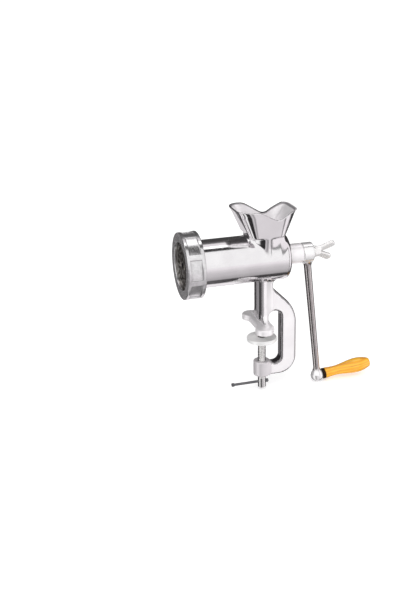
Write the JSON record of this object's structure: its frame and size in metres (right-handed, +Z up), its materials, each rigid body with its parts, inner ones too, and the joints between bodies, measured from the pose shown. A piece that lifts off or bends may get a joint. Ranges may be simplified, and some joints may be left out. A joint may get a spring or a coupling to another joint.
{
  "type": "manual meat grinder",
  "caption": "Hand-cranked meat grinder with a flared hopper, lobed ring nut, perforated plate, table clamp and a crank with a turned wooden grip.",
  "frame": {"origin": "middle of the upper jaw's clamping face, on the axis of the clamp screw", "axes": "+Z up, away from the table top; +X along the barrel axis from the outlet to the crank"},
  "size_m": [0.248, 0.08, 0.2393],
  "materials": {
    "polished_casting": "polished",
    "nut_casting": "satin",
    "cutting_steel": "ground",
    "worm_casting": "as cast",
    "bush_bronze": "machined",
    "washer_plastic": "matt",
    "crank_steel": "plated",
    "plated_steel": "zinc plated",
    "lacquered_wood": "gloss lacquer",
    "dark_ferrule": "blackened",
    "pad_casting": "tumbled",
    "bar_steel": "drawn"
  },
  "bodies": {
    "root": {"body_casting": "polished_casting", "rear_bush": "bush_bronze", "thrust_washer": "washer_plastic", "plate_key": "cutting_steel"},
    "drive": {"feed_screw": "worm_casting", "knife_stub": "cutting_steel", "cutter_knife": "cutting_steel", "crank_arm": "crank_steel", "grip_axle": "plated_steel", "grip_end_washer": "plated_steel"},
    "grip": {"wooden_grip": "lacquered_wood", "grip_ferrule": "dark_ferrule"},
    "crank_washer": {"crank_washer": "plated_steel"},
    "thumb_screw": {"thumb_screw": "plated_steel"},
    "plate": {"grinding_plate": "cutting_steel"},
    "nut": {"ring_nut": "nut_casting"},
    "pad": {"swivel_pad": "pad_casting"},
    "clamp_screw": {"clamp_screw": "plated_steel", "pad_rivet": "plated_steel"},
    "tommy_bar": {"tommy_bar": "bar_steel", "bar_caps": "bar_steel"}
  },
  "joints": [
    {"name": "crank_turn", "type": "hinge", "parent": "root", "child": "drive", "pos_m": [0, 0, 0.088], "axis": [1, 0, 0], "continuous": true},
    {"name": "grip_spin", "type": "hinge", "parent": "drive", "child": "grip", "pos_m": [0.07486, 0, -0.07908], "axis": [0.9936, 0, 0.1132], "continuous": true},
    {"name": "crank_washer_slide", "type": "slide", "parent": "drive", "child": "crank_washer", "axis": [1, 0, 0], "range_m": [0, 0.00875]},
    {"name": "thumb_screw_turn", "type": "hinge", "parent": "crank_washer", "child": "thumb_screw", "pos_m": [0.05, 0, 0.088], "axis": [1, 0, 0], "range_deg": [0, 2530]},
    {"name": "plate_slide", "type": "slide", "parent": "root", "child": "plate", "axis": [-1, 0, 0], "range_m": [0, 0.012]},
    {"name": "nut_turn", "type": "hinge", "parent": "plate", "child": "nut", "pos_m": [-0.1, 0, 0.088], "axis": [-1, 0, 0], "range_deg": [0, 1450]},
    {"name": "pad_slide", "type": "slide", "parent": "root", "child": "pad", "axis": [0, 0, 1], "range_m": [-0.022, 0.007]},
    {"name": "clamp_screw_turn", "type": "hinge", "parent": "pad", "child": "clamp_screw", "pos_m": [0, 0, -0.05], "axis": [0, 0, 1], "range_deg": [-3970, 1270]},
    {"name": "bar_slide", "type": "slide", "parent": "clamp_screw", "child": "tommy_bar", "axis": [1, 0, 0], "range_m": [0, 0.031]}
  ],
  "couplings": [
    {"joint": "thumb_screw_turn", "follows": "crank_washer_slide", "rad_per_m": 5026.5},
    {"joint": "nut_turn", "follows": "plate_slide", "rad_per_m": 2094.4},
    {"joint": "clamp_screw_turn", "follows": "pad_slide", "rad_per_m": 3141.6}
  ]
}
